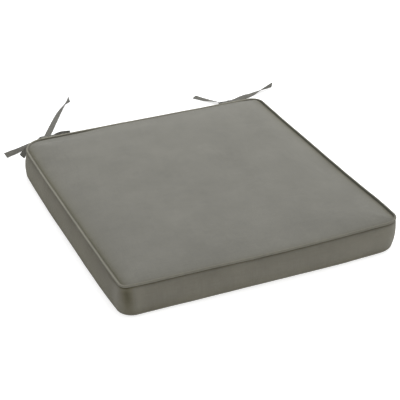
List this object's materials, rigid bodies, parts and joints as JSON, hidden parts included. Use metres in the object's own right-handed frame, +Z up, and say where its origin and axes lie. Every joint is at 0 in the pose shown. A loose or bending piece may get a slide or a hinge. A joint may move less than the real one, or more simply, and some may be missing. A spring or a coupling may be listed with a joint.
{
  "type": "chair seat pad",
  "caption": "Square box-edge chair cushion with corded seams, a zipped cover over a foam core, and flat fabric ties at its rear corners.",
  "frame": {"origin": "on the supporting surface under the middle of the pad", "axes": "+Z up out of the seating face, +Y towards the rear edge with the zip and ties, +X to the right when looking along +Y"},
  "size_m": [0.5829, 0.7439, 0.06],
  "materials": {
    "canvas_panels": "plain-weave outdoor canvas, taupe grey",
    "canvas_band": "plain-weave outdoor canvas, taupe grey",
    "canvas_piping": "bias-cut canvas over cord",
    "canvas_ties": "folded and stitched canvas strap",
    "piping_filler": "braided polyester cord",
    "foam": "open-cell polyurethane foam",
    "fibre_wrap": "polyester fibre batting",
    "zip_tape": "woven polyester zip tape",
    "zip_coil": "nylon coil",
    "zip_metal": "painted zinc alloy"
  },
  "bodies": {
    "pad": {"top_panel": "canvas_panels", "bottom_panel": "canvas_panels", "front_side_band": "canvas_band", "rear_band_upper": "canvas_band", "rear_band_lower": "canvas_band", "top_welt": "canvas_piping", "bottom_welt": "canvas_piping", "top_welt_cord": "piping_filler", "bottom_welt_cord": "piping_filler", "foam_core": "foam", "wrap_upper": "fibre_wrap", "wrap_lower": "fibre_wrap", "zip_tape_upper": "zip_tape", "zip_tape_lower": "zip_tape", "zip_coil_upper": "zip_coil", "zip_coil_lower": "zip_coil", "zip_stop_closed_end": "zip_metal", "zip_stop_open_end": "zip_metal", "tie_left_long": "canvas_ties", "tie_left_inner": "canvas_ties", "tie_left_outer": "canvas_ties", "tie_left_corner": "canvas_ties", "tie_right_inner": "canvas_ties", "tie_right_outer": "canvas_ties", "tie_right_hidden_inner": "canvas_ties", "tie_right_hidden_outer": "canvas_ties"},
    "slider": {"zip_slider": "zip_metal"},
    "pull": {"zip_pull": "zip_metal"}
  },
  "joints": [
    {"name": "zip_slide", "type": "slide", "parent": "pad", "child": "slider", "axis": [-1, 0, 0], "range_m": [0, 0.3]},
    {"name": "pull_swing", "type": "hinge", "parent": "slider", "child": "pull", "pos_m": [0.15, 0.25845, 0.0281], "axis": [0, 0, -1], "range_deg": [0, 170]}
  ]
}
